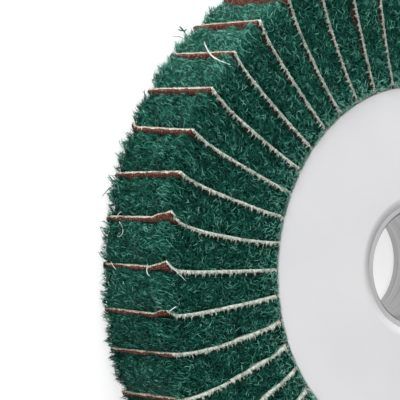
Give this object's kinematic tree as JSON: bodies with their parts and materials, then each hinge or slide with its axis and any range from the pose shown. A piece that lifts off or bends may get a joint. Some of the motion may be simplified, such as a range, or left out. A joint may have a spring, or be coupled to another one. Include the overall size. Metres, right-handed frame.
{
  "type": "interleaved flap wheel",
  "caption": "Disc-shaped grinding and finishing wheel: coated-abrasive cloth flaps and thick nonwoven fleece flaps stand alternately around a flanged hub with a plain bore.",
  "frame": {"origin": "on the wheel's axis, level with the back side edges of the abrasive flaps", "axes": "+Z along the axis, out of the front side; the wheel lies flat on its back side; the tip of the first abrasive flap is 6.45 degrees from +X"},
  "size_m": [0.125, 0.125, 0.02],
  "materials": {
    "abrasive_cloth": "cream woven cloth backing with red-brown abrasive grit on one side, frayed edges",
    "fleece": "dark green nonwoven fibre fleece, open and wiry, matt",
    "resin": "cast resin",
    "flange": "smooth light grey, satin",
    "bush_steel": "plain pressed steel"
  },
  "bodies": {
    "root": {"abrasive_flaps_01": "abrasive_cloth", "abrasive_flaps_02": "abrasive_cloth", "abrasive_flaps_03": "abrasive_cloth", "abrasive_flaps_04": "abrasive_cloth", "abrasive_flaps_05": "abrasive_cloth", "abrasive_flaps_06": "abrasive_cloth", "abrasive_flaps_07": "abrasive_cloth", "abrasive_flaps_08": "abrasive_cloth", "abrasive_flaps_09": "abrasive_cloth", "abrasive_flaps_10": "abrasive_cloth", "abrasive_flaps_11": "abrasive_cloth", "abrasive_flaps_12": "abrasive_cloth", "abrasive_flaps_13": "abrasive_cloth", "abrasive_flaps_14": "abrasive_cloth", "abrasive_flaps_15": "abrasive_cloth", "abrasive_flaps_16": "abrasive_cloth", "abrasive_flaps_17": "abrasive_cloth", "abrasive_flaps_18": "abrasive_cloth", "abrasive_flaps_19": "abrasive_cloth", "abrasive_flaps_20": "abrasive_cloth", "abrasive_flaps_21": "abrasive_cloth", "abrasive_flaps_22": "abrasive_cloth", "abrasive_flaps_23": "abrasive_cloth", "fleece_flaps_01": "fleece", "fleece_flaps_02": "fleece", "fleece_flaps_03": "fleece", "fleece_flaps_04": "fleece", "fleece_flaps_05": "fleece", "fleece_flaps_06": "fleece", "fleece_flaps_07": "fleece", "fleece_flaps_08": "fleece", "fleece_flaps_09": "fleece", "fleece_flaps_10": "fleece", "fleece_flaps_11": "fleece", "fleece_flaps_12": "fleece", "fleece_flaps_13": "fleece", "fleece_flaps_14": "fleece", "fleece_flaps_15": "fleece", "fleece_flaps_16": "fleece", "fleece_flaps_17": "fleece", "fleece_flaps_18": "fleece", "fleece_flaps_19": "fleece", "fleece_flaps_20": "fleece", "fleece_flaps_21": "fleece", "fleece_flaps_22": "fleece", "fleece_flaps_23": "fleece", "resin_core": "resin", "back_flange": "flange", "front_flange": "flange", "arbor_bush": "bush_steel"}
  },
  "joints": []
}
